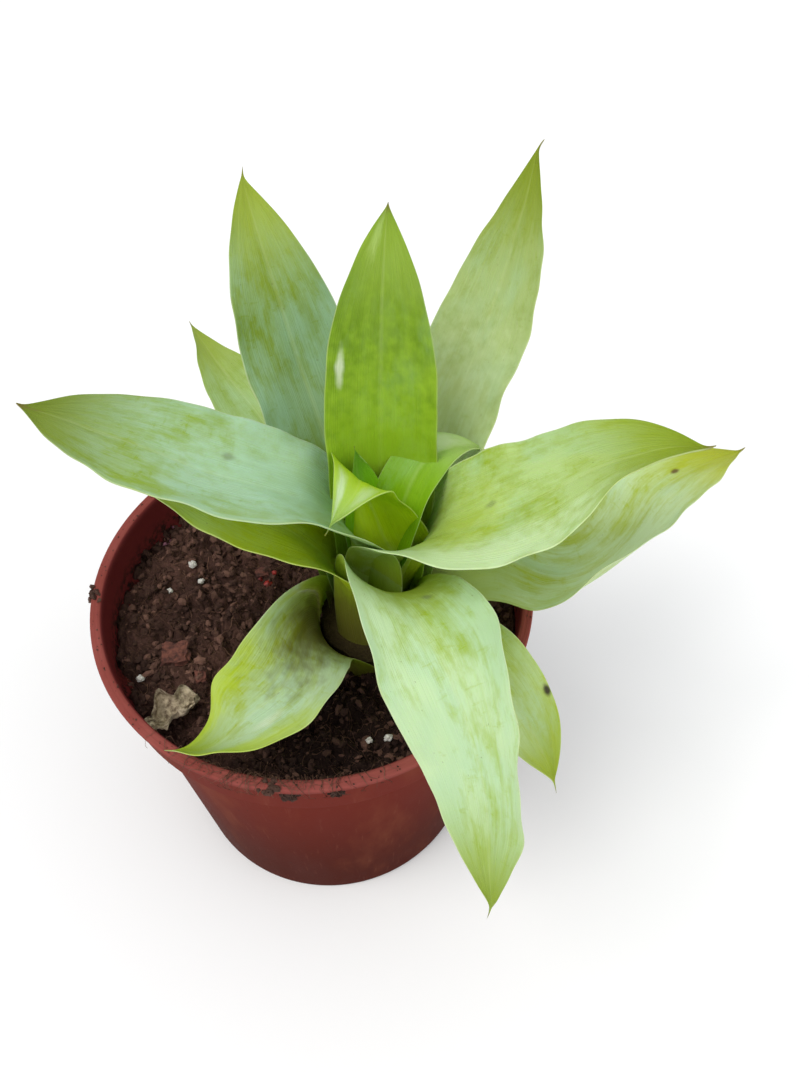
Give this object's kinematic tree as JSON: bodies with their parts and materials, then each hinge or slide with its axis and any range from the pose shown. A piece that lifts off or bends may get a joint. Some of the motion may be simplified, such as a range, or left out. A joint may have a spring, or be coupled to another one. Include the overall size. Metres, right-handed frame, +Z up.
{
  "type": "potted bromeliad",
  "caption": "Young bromeliad with a rosette of pale green channelled leaves, growing in soil in a small tapered brown plastic nursery pot.",
  "frame": {"origin": "centre of the pot's underside, on the surface that the pot stands on", "axes": "+Z up along the pot's axis; -Y is the side that the front leaf arches over; +X is towards the right-hand leaves"},
  "size_m": [0.1753, 0.1689, 0.1956],
  "materials": {
    "pot_plastic": "moulded terracotta-brown polypropylene with a low sheen and fine scuffs",
    "soil": "dark moist peat potting mix with fibres",
    "stem": "fibrous greenish-brown stem, hidden by the leaf bases",
    "young_leaf": "smooth bright green leaf with fine lengthwise veins",
    "leaf": "leathery yellow-green leaf with a pale grey bloom that is rubbed off in streaks",
    "dry_leaf": "dry, papery and crumpled",
    "bark": "rough reddish-brown bark",
    "perlite": "white porous grain"
  },
  "bodies": {
    "root": {"pot": "pot_plastic", "soil": "soil", "stem": "stem", "leaf_heart_centre": "young_leaf", "leaf_heart_front": "young_leaf", "leaf_heart_right": "young_leaf", "leaf_back": "young_leaf", "leaf_right": "leaf", "leaf_left": "leaf", "leaf_left_lower": "leaf", "leaf_front": "leaf", "leaf_back_left": "leaf", "leaf_back_right": "leaf", "leaf_back_left_lower": "leaf", "leaf_right_lower": "leaf", "leaf_front_right_lower": "leaf", "leaf_front_left_lower": "leaf", "dried_leaf": "dry_leaf", "bark_chip_1": "bark", "bark_chip_2": "bark", "bark_chip_3": "bark", "perlite_1": "perlite", "perlite_2": "perlite", "perlite_3": "perlite", "perlite_4": "perlite", "perlite_5": "perlite", "perlite_6": "perlite"}
  },
  "joints": []
}
